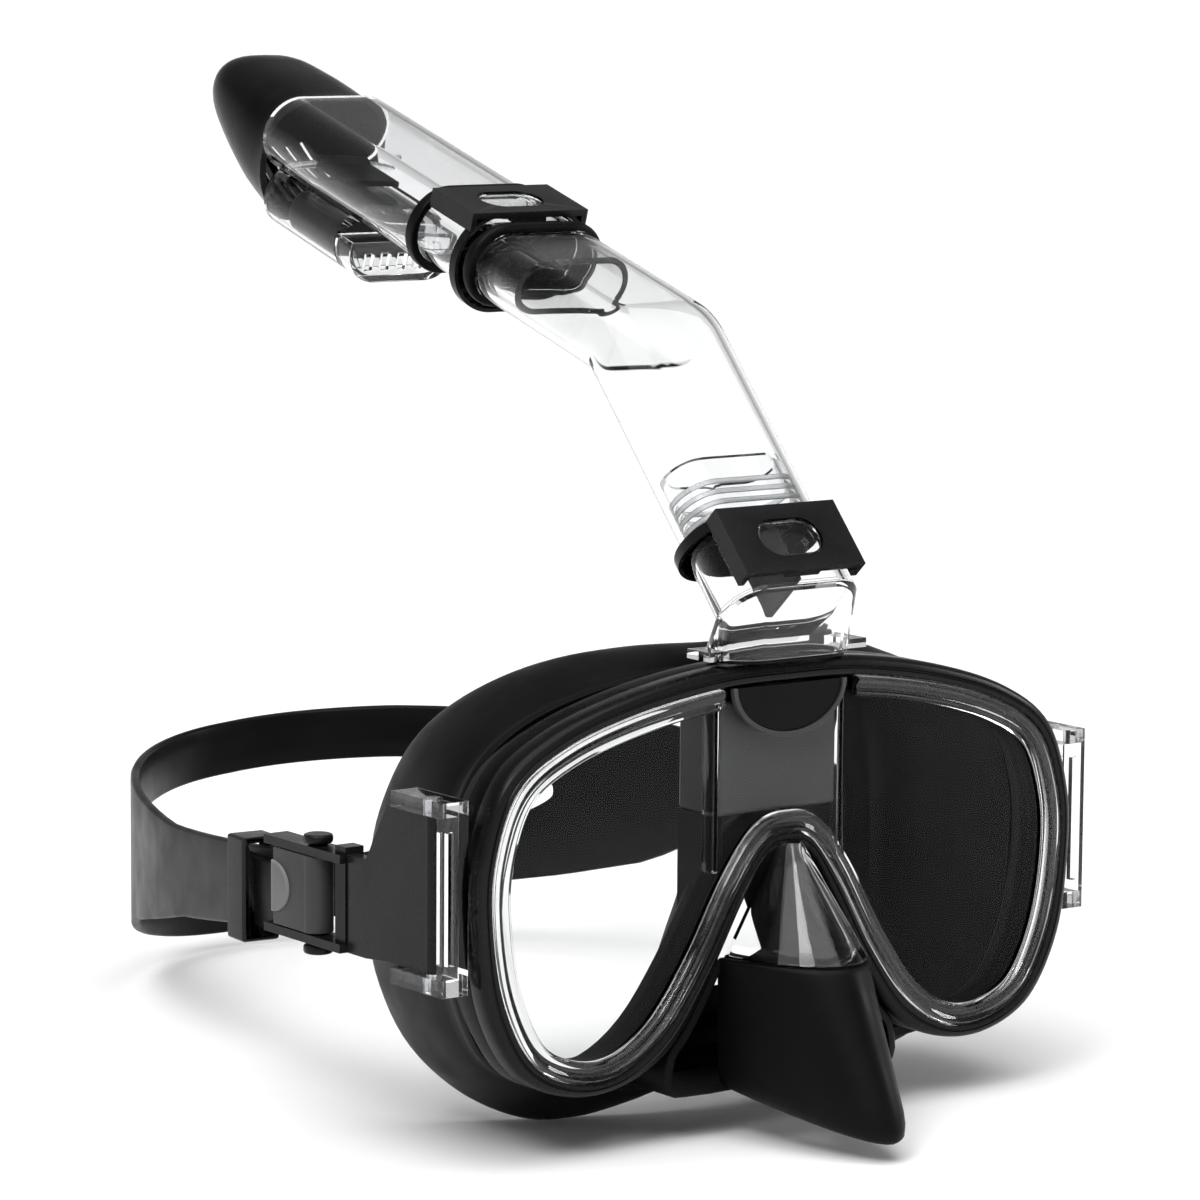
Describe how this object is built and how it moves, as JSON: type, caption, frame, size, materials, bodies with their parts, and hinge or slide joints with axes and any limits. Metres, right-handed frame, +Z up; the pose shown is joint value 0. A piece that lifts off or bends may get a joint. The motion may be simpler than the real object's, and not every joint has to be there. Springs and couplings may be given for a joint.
{
  "type": "snorkel mask",
  "caption": "Single-lens snorkel mask with a top-mounted bent oval tube, latch collars, a float-valve dry top and a split silicone head strap.",
  "frame": {"origin": "middle of the skirt's rear opening, where the mask seals on the face", "axes": "-Y is the way the mask looks, +Y is towards the back of the head, +Z is up, +X is the wearer's left"},
  "size_m": [0.1746, 0.2681, 0.2219],
  "materials": {
    "clear_plastic": "polished clear polycarbonate",
    "lens_glass": "polished tempered lens",
    "tube_plastic": "smooth clear moulded tube",
    "black_plastic": "satin black moulding",
    "dark_plastic": "matt dark moulding",
    "silicone": "soft matt black silicone",
    "duct_grey": "smoky grey satin moulding",
    "rail_clear": "clear moulded edge rail",
    "seal_grey": "translucent grey silicone",
    "strap_rubber": "smooth black silicone strap",
    "pin_steel": "polished stainless pin"
  },
  "bodies": {
    "mask": {"lens": "lens_glass", "lens_trim": "clear_plastic", "bezel_frame": "black_plastic", "clip_ring": "dark_plastic", "lens_gasket": "silicone", "face_skirt": "silicone", "nose_window": "clear_plastic", "nose_pocket": "silicone", "air_duct": "duct_grey", "air_port_seal": "silicone", "air_port_ring": "duct_grey", "inhale_valve": "seal_grey", "duct_rail_left": "rail_clear", "duct_rail_right": "rail_clear", "tube_connector": "clear_plastic", "connector_gasket": "silicone", "connector_divider": "duct_grey", "lower_seal_rings": "seal_grey", "lower_collar": "black_plastic", "bracket_left": "clear_plastic", "bracket_right": "clear_plastic", "hinge_pin_left": "pin_steel", "hinge_pin_right": "pin_steel", "strap_back": "strap_rubber"},
    "lower_button": {"lower_release_button": "clear_plastic"},
    "tube": {"bent_tube": "tube_plastic"},
    "dry_top": {"dry_top_housing": "clear_plastic", "upper_gasket": "silicone", "upper_collar": "black_plastic", "housing_band": "silicone", "float_cage": "clear_plastic", "flap_pin": "pin_steel", "dry_top_cap": "black_plastic"},
    "upper_button": {"upper_release_button": "clear_plastic"},
    "float": {"float": "dark_plastic"},
    "flap": {"flap_valve": "silicone"},
    "swivel_left": {"swivel_left": "black_plastic", "buckle_left": "black_plastic", "roller_left": "black_plastic", "keeper_left": "black_plastic", "strap_run_left": "strap_rubber"},
    "swivel_right": {"swivel_right": "black_plastic", "buckle_right": "black_plastic", "roller_right": "black_plastic", "keeper_right": "black_plastic", "strap_run_right": "strap_rubber"},
    "lever_left": {"buckle_lever_left": "dark_plastic"},
    "lever_right": {"buckle_lever_right": "dark_plastic"}
  },
  "joints": [
    {"name": "tube_pull", "type": "slide", "parent": "mask", "child": "tube", "axis": [0, 0.6756, 0.7373], "range_m": [0, 0.0175]},
    {"name": "dry_top_pull", "type": "slide", "parent": "tube", "child": "dry_top", "axis": [0, 0.9563, 0.2924], "range_m": [0, 0.0145]},
    {"name": "lower_button_press", "type": "slide", "parent": "mask", "child": "lower_button", "axis": [0, 0.7373, -0.6756], "range_m": [0, 0.001], "stiffness_N_per_m": 600, "springref_m": -0.001},
    {"name": "upper_button_press", "type": "slide", "parent": "dry_top", "child": "upper_button", "axis": [0, 0.2924, -0.9563], "range_m": [0, 0.001], "stiffness_N_per_m": 600, "springref_m": -0.001},
    {"name": "float_rise", "type": "slide", "parent": "dry_top", "child": "float", "axis": [0, 0.9563, 0.2924], "range_m": [0, 0.006]},
    {"name": "flap_close", "type": "hinge", "parent": "dry_top", "child": "flap", "pos_m": [0, 0.12665, 0.14478], "axis": [1, 0, 0], "range_deg": [-55.1, 0]},
    {"name": "swivel_left_swing", "type": "hinge", "parent": "mask", "child": "swivel_left", "pos_m": [0.0835, -0.036, -0.002], "axis": [0, 0, -1], "range_deg": [-2, 20], "deforming": ["strap_run_left"]},
    {"name": "lever_left_flip", "type": "hinge", "parent": "swivel_left", "child": "lever_left", "pos_m": [0.084, 0.007, -0.002], "axis": [0, 0, -1], "range_deg": [0, 40]},
    {"name": "swivel_right_swing", "type": "hinge", "parent": "mask", "child": "swivel_right", "pos_m": [-0.0835, -0.036, -0.002], "axis": [0, 0, 1], "range_deg": [-2, 20], "deforming": ["strap_run_right"]},
    {"name": "lever_right_flip", "type": "hinge", "parent": "swivel_right", "child": "lever_right", "pos_m": [-0.084, 0.007, -0.002], "axis": [0, 0, 1], "range_deg": [0, 40]}
  ],
  "couplings": [
    {"joint": "flap_close", "follows": "float_rise", "rad_per_m": -160}
  ]
}
